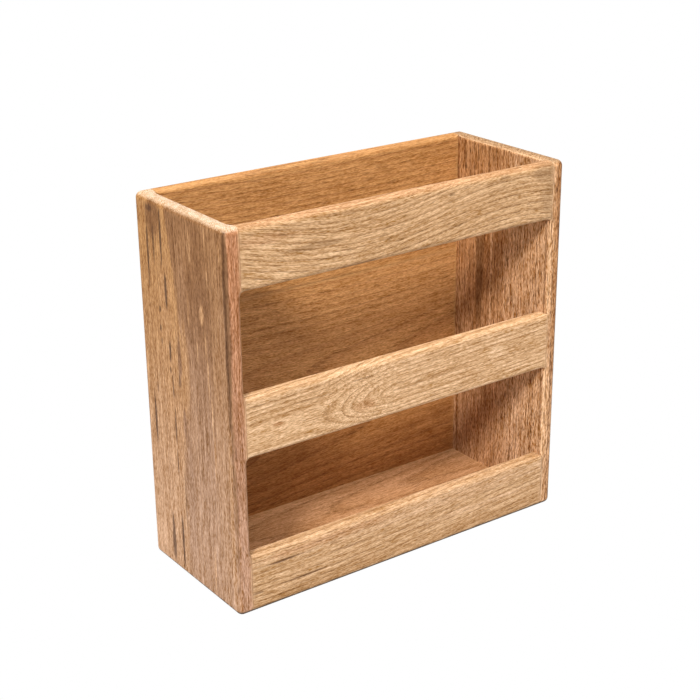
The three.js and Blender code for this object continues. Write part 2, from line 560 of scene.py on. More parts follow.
class GrainRun(Effect):
    """Bends the wood of a board, because no tree grows straight.

    The grain sways once up and down the board, leans to one side, dives through the thickness and wanders. On a
    stretch of the board it may also plunge, which turns the rings into nested flames.
    """

    title = "grain run"
    inputs = {
        "Place": (0.0, 0.0, 0.0),
        "Sway Depth": 0.0,
        "Sway Length": 250.0,
        "Sway Low Point": 0.0,
        "Lean": 0.0,
        "Dive": 0.0,
        "Wander": 1.0,
        "Plunge Start": 0.0,
        "Plunge Finish": 50.0,
        "Plunge Depth": 0.0,
        "Seed": 0.0,
    }
    outputs = {"Log": VECTOR}
    seed_step: ClassVar[Triple] = (37.1, 17.3, 91.7)
    slow_wander: ClassVar[Triple] = (1 / 34, 1 / 34, 1 / 130)
    quick_wander: ClassVar[Triple] = (1 / 7, 1 / 7, 1 / 38)

    @classmethod
    def lay_out(cls, sheet: Sheet, given: dict[str, bpy.types.NodeSocket]) -> dict[str, bpy.types.NodeSocket]:
        """Takes the grain's own height and depth away from the place."""
        along = sheet.split(given["Place"])[2]
        from_low_point = sheet.math("SUBTRACT", along, given["Sway Low Point"])
        turns = sheet.math("DIVIDE", from_low_point, given["Sway Length"])
        swing = sheet.math("COSINE", sheet.math("MULTIPLY", turns, math.tau))
        sway = sheet.math("MULTIPLY", swing, given["Sway Depth"])
        lean = sheet.math("MULTIPLY", along, given["Lean"])
        dive = sheet.math("MULTIPLY", along, given["Dive"])
        plunging = sheet.ramp(along, given["Plunge Start"], given["Plunge Finish"])
        plunge = sheet.math("MULTIPLY", plunging, given["Plunge Depth"])
        raised = sheet.math("SUBTRACT", sway, lean)
        sunk = sheet.math("MULTIPLY", sheet.math("ADD", dive, plunge), -1.0)
        straightened = sheet.vector("ADD", given["Place"], sheet.join(raised, sunk, 0.0))
        offset = sheet.scale(cls.seed_step, given["Seed"])
        wandered = straightened
        for scale, share in ((cls.slow_wander, 2.0), (cls.quick_wander, 0.35)):
            spot = sheet.vector("ADD", sheet.vector("MULTIPLY", straightened, scale), offset)
            shift = sheet.vector("SUBTRACT", sheet.noise(spot, detail=1.0).outputs[1], (0.5, 0.5, 0.5))
            amount = sheet.math("MULTIPLY", given["Wander"], share)
            wandered = sheet.vector("ADD", wandered, sheet.scale(shift, amount))
        return {"Log": wandered}


class GrowthRings(Effect):
    """The yearly rings round the pith: pale early wood that darkens to a thin, broken line at the year's end."""

    title = "growth rings"
    inputs = {
        "Log": (0.0, 0.0, 0.0),
        "Pith": (0.0, 60.0, 0.0),
        "Spacing": 3.0,
        "Unevenness": 1.0,
        "Seed": 0.0,
    }
    outputs = {"Late Wood": NUMBER, "Year Line": NUMBER, "Pore Belt": NUMBER, "Year Tone": NUMBER}
    line_breaks: ClassVar[Triple] = (1.1, 1.1, 7.0)

    @classmethod
    def lay_out(cls, sheet: Sheet, given: dict[str, bpy.types.NodeSocket]) -> dict[str, bpy.types.NodeSocket]:
        """Counts the years from the pith outwards."""
        from_pith = sheet.vector("SUBTRACT", given["Log"], given["Pith"])
        radius = sheet.length(sheet.vector("MULTIPLY", from_pith, (1.0, 1.0, 0.0)))
        years = sheet.math("DIVIDE", radius, given["Spacing"])
        slow = sheet.join(sheet.math("MULTIPLY", years, 0.37), given["Seed"], 0.0)
        drift = sheet.math("SUBTRACT", sheet.noise(slow, detail=0.0).outputs[0], 0.5)
        years = sheet.math("ADD", years, sheet.math("MULTIPLY", drift, given["Unevenness"]))
        year = sheet.math("FLOOR", years)
        season = sheet.math("FRACT", years)
        chance = sheet.node("ShaderNodeTexWhiteNoise", {"W": sheet.math("ADD", year, given["Seed"])},
                            noise_dimensions="1D").outputs["Value"]
        strength = sheet.ramp(chance, 0.0, 0.9, 0.3, 1.0)
        ending = sheet.ramp(season, 0.98, 1.0, 1.0, 0.0)
        late = sheet.math("MULTIPLY", sheet.ramp(season, 0.3, 0.98), ending)
        line = sheet.math("MULTIPLY", sheet.ramp(season, 0.74, 0.95), ending)
        spot = sheet.vector("DIVIDE", given["Log"], cls.line_breaks)
        broken = sheet.ramp(sheet.noise(spot, detail=3.0, roughness=0.6).outputs[0], 0.36, 0.62, 0.1, 1.0)
        line = sheet.math("MULTIPLY", line, broken)
        belt = sheet.math("MAXIMUM", sheet.ramp(season, 0.0, 0.22, 1.0, 0.0), line)
        return {
            "Late Wood": late,
            "Year Line": sheet.math("MULTIPLY", line, strength),
            "Pore Belt": sheet.math("MULTIPLY", belt, strength),
            "Year Tone": sheet.math("SUBTRACT", chance, 0.5),
        }


class Pores(Effect):
    """The open vessels: short dark dashes along the grain, crowded in the belt of each year's early wood."""

    title = "pores"
    inputs = {
        "Log": (0.0, 0.0, 0.0),
        "Pore Belt": 0.0,
        "Width": 0.35,
        "Length": 6.0,
        "Crowding": 1.0,
        "Seed": 0.0,
    }
    outputs = {"Pore": NUMBER}

    @classmethod
    def lay_out(cls, sheet: Sheet, given: dict[str, bpy.types.NodeSocket]) -> dict[str, bpy.types.NodeSocket]:
        """Cuts long noise spots off at a level that is lower inside the belt."""
        width = given["Width"]
        cell = sheet.vector("DIVIDE", given["Log"], sheet.join(width, width, given["Length"]))
        spot = sheet.vector("ADD", cell, sheet.join(given["Seed"], 0.0, given["Seed"]))
        pattern = sheet.noise(spot, detail=1.5, roughness=0.6).outputs[0]
        ease = sheet.math("MULTIPLY", sheet.math("ADD", given["Pore Belt"], 0.6), given["Crowding"])
        level = sheet.math("SUBTRACT", 0.68, sheet.math("MULTIPLY", ease, 0.13))
        pore = sheet.ramp(pattern, level, sheet.math("ADD", level, 0.08))
        return {"Pore": pore}


class Fibre(Effect):
    """The lay of the fibres: short grit, fine streaks and broad soft streaks of lighter and darker wood."""

    title = "fibre"
    inputs = {"Log": (0.0, 0.0, 0.0), "Seed": 0.0}
    outputs = {"Grit": NUMBER, "Fine": NUMBER, "Broad": NUMBER}
    sizes: ClassVar[tuple[tuple[str, float, float], ...]] = (
        ("Grit", 0.42, 2.6), ("Fine", 0.75, 12.0), ("Broad", 3.0, 64.0),
    )

    @classmethod
    def lay_out(cls, sheet: Sheet, given: dict[str, bpy.types.NodeSocket]) -> dict[str, bpy.types.NodeSocket]:
        """Three sizes of noise that is drawn out along the grain."""
        results = {}
        for name, width, length in cls.sizes:
            cell = sheet.vector("DIVIDE", given["Log"], (width, width, length))
            spot = sheet.vector("ADD", cell, sheet.join(0.0, given["Seed"], given["Seed"]))
            results[name] = sheet.ramp(sheet.noise(spot, detail=2.0).outputs[0], 0.32, 0.68, -1.0, 1.0)
        return results


class Sapwood(Effect):
    """The pale wood from under the bark: its border bows along the board and breaks up into long flames."""

    title = "sapwood"
    inputs = {
        "Place": (0.0, 0.0, 0.0),
        "Border": 0.0,
        "Lean": 0.0,
        "Bow": 0.0,
        "Flames": 4.0,
        "Seed": 0.0,
    }
    outputs = {"Sap": NUMBER}
    flame_size: ClassVar[Triple] = (2.2, 6.0, 38.0)

    @classmethod
    def lay_out(cls, sheet: Sheet, given: dict[str, bpy.types.NodeSocket]) -> dict[str, bpy.types.NodeSocket]:
        """Measures from the border, and shifts it by noise that is drawn out along the grain."""
        across, _, along = sheet.split(given["Place"])
        leaning = sheet.math("MULTIPLY", along, given["Lean"])
        bowed = sheet.math("MULTIPLY", sheet.math("MULTIPLY", along, along), given["Bow"])
        border = sheet.math("ADD", given["Border"], sheet.math("ADD", leaning, bowed))
        beyond = sheet.math("SUBTRACT", across, border)
        cell = sheet.vector("DIVIDE", given["Place"], cls.flame_size)
        spot = sheet.vector("ADD", cell, sheet.join(given["Seed"], 0.0, given["Seed"]))
        flame = sheet.math("SUBTRACT", sheet.noise(spot, detail=3.0, roughness=0.6).outputs[0], 0.5)
        shifted = sheet.math("ADD", beyond, sheet.math("MULTIPLY", flame, sheet.math("MULTIPLY", given["Flames"], 4.0)))
        return {"Sap": sheet.ramp(shifted, -0.5, 0.5)}


class Streak(Effect):
    """One long thin lens in the wood, pointed at both ends, with a frayed outline; it also shapes bands of painted
    light and painted shade.
    """

    title = "streak"
    inputs = {"Place": (0.0, 0.0, 0.0), "Centre": (0.0, 0.0, 0.0), "Half Size": (1.0, 20.0, 20.0)}
    outputs = {"Mask": NUMBER}

    @classmethod
    def lay_out(cls, sheet: Sheet, given: dict[str, bpy.types.NodeSocket]) -> dict[str, bpy.types.NodeSocket]:
        """Measures from the lens's centre in its own half sizes."""
        from_centre = sheet.vector("SUBTRACT", given["Place"], given["Centre"])
        reach = sheet.length(sheet.vector("DIVIDE", from_centre, given["Half Size"]))
        fray = sheet.noise(sheet.vector("DIVIDE", given["Place"], (0.7, 2.0, 9.0)), detail=1.0).outputs[0]
        frayed = sheet.math("ADD", reach, sheet.math("MULTIPLY", sheet.math("SUBTRACT", fray, 0.5), 0.9))
        return {"Mask": sheet.ramp(frayed, 0.58, 1.04, 1.0, 0.0)}


class ArrisWear(Effect):
    """Where hands and the sanding block have been: along the arrises of a box, a little broken up."""

    title = "arris wear"
    inputs = {
        "Position": (0.0, 0.0, 0.0),
        "Low": (-1.0, -1.0, -1.0),
        "High": (1.0, 1.0, 1.0),
        "Reach": 0.003,
    }
    outputs = {"Wear": NUMBER}

    @classmethod
    def lay_out(cls, sheet: Sheet, given: dict[str, bpy.types.NodeSocket]) -> dict[str, bpy.types.NodeSocket]:
        """Near an arris, two of the three distances to the box's faces are small."""
        above_low = sheet.vector("SUBTRACT", given["Position"], given["Low"])
        below_high = sheet.vector("SUBTRACT", given["High"], given["Position"])
        x, y, z = sheet.split(sheet.vector("MINIMUM", above_low, below_high))
        pairs = [sheet.math("MAXIMUM", one, other) for one, other in ((x, y), (y, z), (z, x))]
        nearest = sheet.math("MINIMUM", pairs[0], sheet.math("MINIMUM", pairs[1], pairs[2]))
        broken = sheet.noise(sheet.vector("MULTIPLY", given["Position"], (160.0,) * 3), detail=3.0).outputs[0]
        worn = sheet.ramp(sheet.math("DIVIDE", nearest, given["Reach"]), 0.15, 1.0, 1.0, 0.0)
        return {"Wear": sheet.math("MULTIPLY", worn, sheet.ramp(broken, 0.25, 0.6, 0.45, 1.0))}


class JointLine(Effect):
    """The glued joint where the boards meet the sides: a fine dark line, and pale glue on the side's edge."""

    title = "joint line"
    inputs = {"Position": (0.0, 0.0, 0.0), "Joint": 0.1, "Half Width": 0.0003, "Glue Offset": 0.0006}
    outputs = {"Line": NUMBER, "Glue": NUMBER}

    @classmethod
    def lay_out(cls, sheet: Sheet, given: dict[str, bpy.types.NodeSocket]) -> dict[str, bpy.types.NodeSocket]:
        """Measures how far the place lies from either joint."""
        x = sheet.math("ABSOLUTE", sheet.split(given["Position"])[0])
        broken = sheet.noise(sheet.vector("MULTIPLY", given["Position"], (90.0,) * 3), detail=3.0).outputs[0]
        strength = sheet.ramp(broken, 0.3, 0.65, 0.35, 1.0)
        results = {}
        for name, offset in (("Line", 0.0), ("Glue", given["Glue Offset"])):
            away = sheet.math("ABSOLUTE", sheet.math("SUBTRACT", sheet.math("SUBTRACT", x, given["Joint"]), offset))
            line = sheet.ramp(sheet.math("DIVIDE", away, given["Half Width"]), 0.3, 1.0, 1.0, 0.0)
            results[name] = sheet.math("MULTIPLY", line, strength)
        return results


class EndGrain(Effect):
    """Where the surface cuts straight across the fibres."""

    title = "end grain"
    inputs = {"Normal": (0.0, 0.0, 1.0), "Along": (0.0, 0.0, 1.0)}
    outputs = {"End": NUMBER}

    @classmethod
    def lay_out(cls, sheet: Sheet, given: dict[str, bpy.types.NodeSocket]) -> dict[str, bpy.types.NodeSocket]:
        """Compares the way the surface faces with the way the grain runs."""
        facing = sheet.math("ABSOLUTE", sheet.dot(given["Normal"], given["Along"]))
        return {"End": sheet.ramp(facing, 0.35, 0.95)}


class PaintedFloorLightRamp(Effect):
    """Painted light: a slow change of tone from one end of a board to the other, which stands in for the light that the
    floor sends up.
    """

    title = "floor_light_ramp"
    inputs = {"Place": (0.0, 0.0, 0.0), "Start": -120.0, "Finish": 120.0}
    outputs = {"Fade": NUMBER}

    @classmethod
    def lay_out(cls, sheet: Sheet, given: dict[str, bpy.types.NodeSocket]) -> dict[str, bpy.types.NodeSocket]:
        """Measures along the board, with a little cloudiness in it."""
        along = sheet.split(given["Place"])[2]
        cell = sheet.vector("DIVIDE", given["Place"], (14.0, 14.0, 60.0))
        cloud = sheet.math("SUBTRACT", sheet.noise(cell, detail=2.0).outputs[0], 0.5)
        clouded = sheet.math("ADD", along, sheet.math("MULTIPLY", cloud, 90.0))
        return {"Fade": sheet.ramp(clouded, given["Start"], given["Finish"])}


class FootShadow(Effect):
    """The foot of the rack, where it stands: a narrow band of painted contact shadow that is darker than the rest."""

    title = "foot"
    inputs = {"Position": (0.0, 0.0, 0.0), "Height": 0.003}
    outputs = {"Dirt": NUMBER}

    @classmethod
    def lay_out(cls, sheet: Sheet, given: dict[str, bpy.types.NodeSocket]) -> dict[str, bpy.types.NodeSocket]:
        """Measures how far the place lies above the floor."""
        level = sheet.math("DIVIDE", sheet.split(given["Position"])[2], given["Height"])
        uneven = sheet.noise(sheet.vector("MULTIPLY", given["Position"], (120.0,) * 3), detail=3.0).outputs[0]
        raised = sheet.math("ADD", level, sheet.math("MULTIPLY", sheet.math("SUBTRACT", uneven, 0.5), 0.6))
        return {"Dirt": sheet.ramp(raised, 0.65, 1.1, 1.0, 0.0)}


class Handling(Effect):
    """Where the oil has soaked in more or less: soft clouds over the whole rack."""

    title = "handling"
    inputs = {"Position": (0.0, 0.0, 0.0), "Seed": 0.0}
    outputs = {"Cloud": NUMBER}

    @classmethod
    def lay_out(cls, sheet: Sheet, given: dict[str, bpy.types.NodeSocket]) -> dict[str, bpy.types.NodeSocket]:
        """Wide noise with some finer noise in it."""
        spot = sheet.vector("ADD", sheet.vector("MULTIPLY", given["Position"], (22.0,) * 3),
                            sheet.join(given["Seed"], 0.0, 0.0))
        return {"Cloud": sheet.ramp(sheet.noise(spot, detail=4.0).outputs[0], 0.3, 0.7, -1.0, 1.0)}


# ---- Finishes ----


@dataclass(frozen=True)
class WoodStreak:
    """One streak in a board, in millimetres from the board's centre; some of them are painted light and painted shade.
    """

    across: float
    along: float
    half_length: float
    half_width: float
    kind: StreakKind = StreakKind.MINERAL
    through: float = 0.0
    half_depth: float = 40.0
    strength: float = 0.8


@dataclass(frozen=True)
class SapBorder:
    """Where the sapwood of a board begins, in millimetres from the board's centre."""

    border: float
    lean: float = 0.0
    bow: float = 0.0
    flames: float = 3.0


@dataclass(frozen=True)
class Plunge:
    """A stretch of a board on which its grain dives deeper into the wood, in millimetres from the centre."""

    start: float
    finish: float
    depth: float


@dataclass(frozen=True)
class Fade:
    """Painted light that a board takes on towards one end, for the light that the floor sends up: from where to where
    along it, how strong, and the colour.
    """

    start: float
    finish: float
    strength: float
    tint: str


@dataclass(frozen=True)
class LogCut:
    """How a board was sawn from its log, which gives its figure. Millimetres."""

    pith_across: float
    pith_through: float
    ring_spacing: float
    sway_depth: float = 0.0
    sway_length: float = 250.0
    sway_low_point: float = 0.0
    lean: float = 0.0
    dive: float = 0.0
    wander: float = 1.0
    unevenness: float = 1.0
    pore_width: float = 0.35
    pore_length: float = 6.0
    pore_crowding: float = 1.0
    plunge: Plunge = Plunge(0.0, 50.0, 0.0)
    seed: float = 0.0


@dataclass(frozen=True)
class TeakColours:
    """The colours of one board, as a screen shows them."""

    early: str
    late: str
    year_line: str
    pore: str
    sap: str
    mineral: str
    pale: str
    red: str
    worn: str
    end: str = "c9a077"
    joint: str = "5f3b1e"
    glue: str = "e0bb92"
    # painted contact shadow: the colour of the dark band along the foot
    dirt: str = "3f2f20"


@dataclass(frozen=True)
class OiledTeak:
    """Oiled teak, rubbed down to a satin: one board's own wood, with painted light and painted shade laid over it."""

    title: str
    lie: Lie
    cut: LogCut
    colours: TeakColours
    streaks: tuple[WoodStreak, ...] = ()
    sap: SapBorder | None = None
    # painted floor light: a lighter, paler tone towards one end of the board, or none
    fade: Fade | None = None
    late_strength: float = 0.55
    line_strength: float = 0.6
    pore_strength: float = 0.5
    contrast: float = 1.0
    roughness: float = 0.55
    bump_height: float = 0.06 * MM
    cloud_share: ClassVar[float] = 0.04
    tone_shares: ClassVar[tuple[tuple[str, float], ...]] = (
        ("Grit", 0.3), ("Fine", 0.2), ("Broad", 0.11), ("Year Tone", 0.09),
    )
    tone_weights: ClassVar[Triple] = (0.76, 1.0, 1.42)

    def figure(self, sheet: Sheet, place: bpy.types.NodeSocket) -> dict[str, bpy.types.NodeSocket]:
        """Lays out the patterns of the wood.

        Args:
            sheet: The material's sheet.
            place: The place in the board.

        Returns:
            The outputs of the rings, the pores and the fibres by name.
        """
        cut = self.cut
        log = GrainRun.place(sheet, {
            "Place": place,
            "Sway Depth": cut.sway_depth,
            "Sway Length": cut.sway_length,
            "Sway Low Point": cut.sway_low_point,
            "Lean": cut.lean,
            "Dive": cut.dive,
            "Wander": cut.wander,
            "Plunge Start": cut.plunge.start,
            "Plunge Finish": cut.plunge.finish,
            "Plunge Depth": cut.plunge.depth,
            "Seed": cut.seed,
        })["Log"]
        rings = GrowthRings.place(sheet, {
            "Log": log,
            "Pith": (cut.pith_across, cut.pith_through, 0.0),
            "Spacing": cut.ring_spacing,
            "Unevenness": cut.unevenness,
            "Seed": cut.seed,
        })
        pores = Pores.place(sheet, {
            "Log": log,
            "Pore Belt": rings["Pore Belt"],
            "Width": cut.pore_width,
            "Length": cut.pore_length,
            "Crowding": cut.pore_crowding,
            "Seed": cut.seed,
        })
        fibre = Fibre.place(sheet, {"Log": log, "Seed": cut.seed})
        return {**{socket.name: socket for outputs in (rings, pores, fibre) for socket in outputs}, "Log": log}

    def streaked(
        self,
        sheet: Sheet,
        place: bpy.types.NodeSocket,
        shade: bpy.types.NodeSocket,
        tints: dict[StreakKind, str],
    ) -> bpy.types.NodeSocket:
        """Lays the board's streaks over its colour, one kind after the other.

        Args:
            sheet: The material's sheet.
            place: The place in the board.
            shade: The colour so far.
            tints: The colour of each kind, in the order in which they are laid over.

        Returns:
            The colour with the streaks in it.
        """
        for kind, tint in tints.items():
            mask = self.streak_mask(sheet, place, kind)
            if mask is not None:
                shade = sheet.blend(mask, shade, colour(tint))
        return shade

    def streak_mask(
        self, sheet: Sheet, place: bpy.types.NodeSocket, kind: StreakKind
    ) -> bpy.types.NodeSocket | None:
        """The mask of all streaks of one kind, or None where the board has none."""
        mask = None
        for streak in self.streaks:
            if streak.kind is not kind:
                continue
            single = Streak.place(sheet, {
                "Place": place,
                "Centre": (streak.across, streak.through, streak.along),
                "Half Size": (streak.half_width, streak.half_depth, streak.half_length),
            })["Mask"]
            single = sheet.math("MULTIPLY", single, streak.strength)
            mask = single if mask is None else sheet.math("MAXIMUM", mask, single)
        return mask

    def surface(
        self, sheet: Sheet, position: bpy.types.NodeSocket, box: Box, joint: float
    ) -> tuple[bpy.types.NodeSocket, bpy.types.NodeSocket, bpy.types.NodeSocket]:
        """Lays out the colour of the wood with its painted light and painted shade, the roughness and the relief.

        Args:
            sheet: The material's sheet.
            position: The place on the rack.
            box: The board's corners.
            joint: How far from the middle the boards meet the sides.

        Returns:
            The colour, the roughness and the height.
        """
        low, high = box
        across, through, along = self.lie.value
        place = BoardSpace.place(sheet, {
            "Position": position,
            "Centre": tuple((low + high) / 2),
            "Across": across,
            "Through": through,
            "Along": along,
        })["Place"]
        figure = self.figure(sheet, place)
        tints = self.colours
        cloud = Handling.place(sheet, {"Position": position, "Seed": self.cut.seed})["Cloud"]

        late = sheet.math("MULTIPLY", figure["Late Wood"], self.late_strength)
        shade = sheet.blend(late, colour(tints.early), colour(tints.late))
        if self.sap is not None:
            sap = Sapwood.place(sheet, {
                "Place": place,
                "Border": self.sap.border,
                "Lean": self.sap.lean,
                "Bow": self.sap.bow,
                "Flames": self.sap.flames,
                "Seed": self.cut.seed,
            })["Sap"]
            shade = sheet.blend(sap, shade, colour(tints.sap))
        line = sheet.math("MULTIPLY", figure["Year Line"], self.line_strength)
        shade = sheet.blend(line, shade, colour(tints.year_line))
        shade = self.streaked(sheet, place, shade, {
            StreakKind.SAP: tints.sap,
            StreakKind.HEART: tints.late,
            StreakKind.PALE: tints.pale,
            StreakKind.RED: tints.red,
        })
        # painted light: the tone grows lighter and paler towards one end, the floor on both sides, for the light that
        # bounces up from it
        if self.fade is not None:
            floor_light_ramp = PaintedFloorLightRamp.place(sheet, {"Place": place, "Start": self.fade.start, "Finish": self.fade.finish})
            floor_lit = sheet.math("MULTIPLY", floor_light_ramp["Fade"], self.fade.strength)
            shade = sheet.blend(floor_lit, shade, colour(self.fade.tint))
        shade = self.streaked(sheet, place, shade, {StreakKind.MINERAL: tints.mineral})
        normal = sheet.node("ShaderNodeTexCoord").outputs["Normal"]
        end = EndGrain.place(sheet, {"Normal": normal, "Along": along})["End"]
        shade = sheet.blend(sheet.math("MULTIPLY", end, 0.85), shade, colour(tints.end))
        shade = sheet.blend(sheet.math("MULTIPLY", figure["Pore"], self.pore_strength), shade, colour(tints.pore))
        lightness = self.lightness(sheet, figure, cloud)
        shade = sheet.vector("MULTIPLY", shade, lightness)

        wear = ArrisWear.place(sheet, {
            "Position": position,
            "Low": tuple(low),
            "High": tuple(high),
            "Reach": 2.6 * MM,
        })["Wear"]
        shade = sheet.blend(sheet.math("MULTIPLY", wear, 0.35), shade, colour(tints.worn))
        glued = JointLine.place(sheet, {"Position": position, "Joint": joint})
        shade = sheet.blend(sheet.math("MULTIPLY", glued["Glue"], 0.5), shade, colour(tints.glue))
        shade = sheet.blend(sheet.math("MULTIPLY", glued["Line"], 0.28), shade, colour(tints.joint))
        # painted contact shadow: a dark band along the foot, where the rack meets the floor
        dirt = FootShadow.place(sheet, {"Position": position})["Dirt"]
        shade = sheet.blend(sheet.math("MULTIPLY", dirt, 0.9), shade, colour(tints.dirt))

        dull = sheet.math("MULTIPLY", figure["Pore"], 0.16)
        polish = sheet.math("MULTIPLY", wear, -0.1)
        patchy = sheet.math("MULTIPLY", cloud, 0.04)
        roughness = sheet.math("ADD", sheet.math("ADD", dull, polish), sheet.math("ADD", patchy, self.roughness))
        grooves = sheet.math("MULTIPLY", figure["Pore"], -1.0)
        ridges = sheet.math("MULTIPLY", figure["Late Wood"], 0.15)
        fibres = sheet.math("MULTIPLY", figure["Grit"], 0.25)
        height = sheet.math("ADD", grooves, sheet.math("ADD", ridges, fibres))
        return shade, roughness, height

    def lightness(
        self, sheet: Sheet, figure: dict[str, bpy.types.NodeSocket], cloud: bpy.types.NodeSocket
    ) -> bpy.types.NodeSocket:
        """How much lighter or darker each place is, as a factor for each of the three colours.

        Teak turns warmer where it turns darker, so its blue changes most and its red least.
        """
        total = sheet.math("MULTIPLY", cloud, self.cloud_share)
        for name, share in self.tone_shares:
            total = sheet.math("ADD", total, sheet.math("MULTIPLY", figure[name], share * self.contrast))
        return sheet.vector("ADD", sheet.scale(self.tone_weights, total), (1.0, 1.0, 1.0))

    def material(self, box: Box, joint: float) -> bpy.types.Material:
        """The board's material.

        Args:
            box: The board's corners.
            joint: How far from the middle the boards meet the sides.

        Returns:
            The material, ready for its board.
        """
        material = bpy.data.materials.new(self.title)
        material.use_nodes = True
        material.node_tree.nodes.clear()
        sheet = Sheet(material.node_tree)
        position = sheet.node("ShaderNodeTexCoord").outputs["Object"]
        shade, roughness, height = self.surface(sheet, position, box, joint)
        bump = sheet.node("ShaderNodeBump", {"Strength": 0.6, "Distance": self.bump_height, "Height": height})
        shader = sheet.node("ShaderNodeBsdfPrincipled", {
            "Base Color": shade,
            "Roughness": roughness,
            "Normal": bump.outputs["Normal"],
            "Specular IOR Level": 0.22,
        })
        sheet.node("ShaderNodeOutputMaterial", {"Surface": shader.outputs["BSDF"]})
        return material


@dataclass(frozen=True)
class DryHardwood:
    """The pale, dry hardwood that dowels are turned from."""

    title: str = "Dry dowel hardwood"
    light: str = "d9bd8f"
    dark: str = "b8935f"
    roughness: float = 0.78

    def material(self) -> bpy.types.Material:
        """The material for all dowels."""
        material = bpy.data.materials.new(self.title)
        material.use_nodes = True
        material.node_tree.nodes.clear()
        sheet = Sheet(material.node_tree)
        position = sheet.node("ShaderNodeTexCoord").outputs["Object"]
        along, across, through = Lie.LEVEL_GRAIN_ON_EDGE.value[2], (0.0, 1.0, 0.0), (0.0, 0.0, 1.0)
        place = BoardSpace.place(sheet, {
            "Position": position, "Across": across, "Through": through, "Along": along,
        })["Place"]
        fibre = Fibre.place(sheet, {"Log": place})
        pore = Pores.place(sheet, {"Log": place, "Width": 0.12, "Length": 2.5})["Pore"]
        mixing = sheet.ramp(sheet.math("ADD", fibre["Fine"], fibre["Broad"]), -1.2, 1.2)
        shade = sheet.blend(mixing, colour(self.light), colour(self.dark))
        shade = sheet.blend(sheet.math("MULTIPLY", pore, 0.5), shade, colour(self.dark))
        roughness = sheet.math("ADD", sheet.math("MULTIPLY", fibre["Fine"], 0.05), self.roughness)
        height = sheet.math("SUBTRACT", sheet.math("MULTIPLY", fibre["Fine"], 0.3), pore)
        bump = sheet.node("ShaderNodeBump", {"Strength": 0.5, "Distance": 0.05 * MM, "Height": height})
        shader = sheet.node("ShaderNodeBsdfPrincipled", {
            "Base Color": shade, "Roughness": roughness, "Normal": bump.outputs["Normal"],
        })
        sheet.node("ShaderNodeOutputMaterial", {"Surface": shader.outputs["BSDF"]})
        return material


# ---- Sub-assemblies ----


@dataclass
class Board:
    """One board: the CAD node it stands for, how it is glued in, and its wood."""

    node: str
    slot: str
    wood: OiledTeak
    glued_axes: tuple[int, ...] = ()
    is_slat: bool = False

    def corners(self, bounds: Box, joint_closing: float) -> Box:
        """The board's corners, grown into the glue lines so that only a hairline is left."""
        low, high = (corner.copy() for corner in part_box(self.node))
        for axis in self.glued_axes:
            if abs(low[axis] - bounds[0][axis]) > SAME_PLACE:
                low[axis] -= joint_closing
            if abs(high[axis] - bounds[1][axis]) > SAME_PLACE:
                high[axis] += joint_closing
        return low, high

    def build(self, shop: Workshop, joint_closing: float) -> bpy.types.Object:
        """Cuts the board, dresses it and puts it on the rack's body.

        Args:
            shop: The tools that cut it.
            joint_closing: How far the board grows into each glue line.

        Returns:
            The finished piece.
        """
        low, high = self.corners(shop.bounds, joint_closing)
        piece = shop.cut_board(f"{self.node}_teak", low, high, self.is_slat)
        piece.data.materials.clear()
        piece.data.materials.append(self.wood.material((low, high), shop.pocket[1].x))
        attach(piece, BODY)
        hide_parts(self.node)
        return piece


@dataclass
class SubAssembly:
    """A row of boards that are made in one way."""

    joint_closing: float = 0.17 * MM

    def boards(self) -> list[Board]:
        """The boards of this sub-assembly."""
        raise NotImplementedError

    def build(self, shop: Workshop) -> list[bpy.types.Object]:
        """Builds all its boards."""
        return [board.build(shop, self.joint_closing) for board in self.boards()]


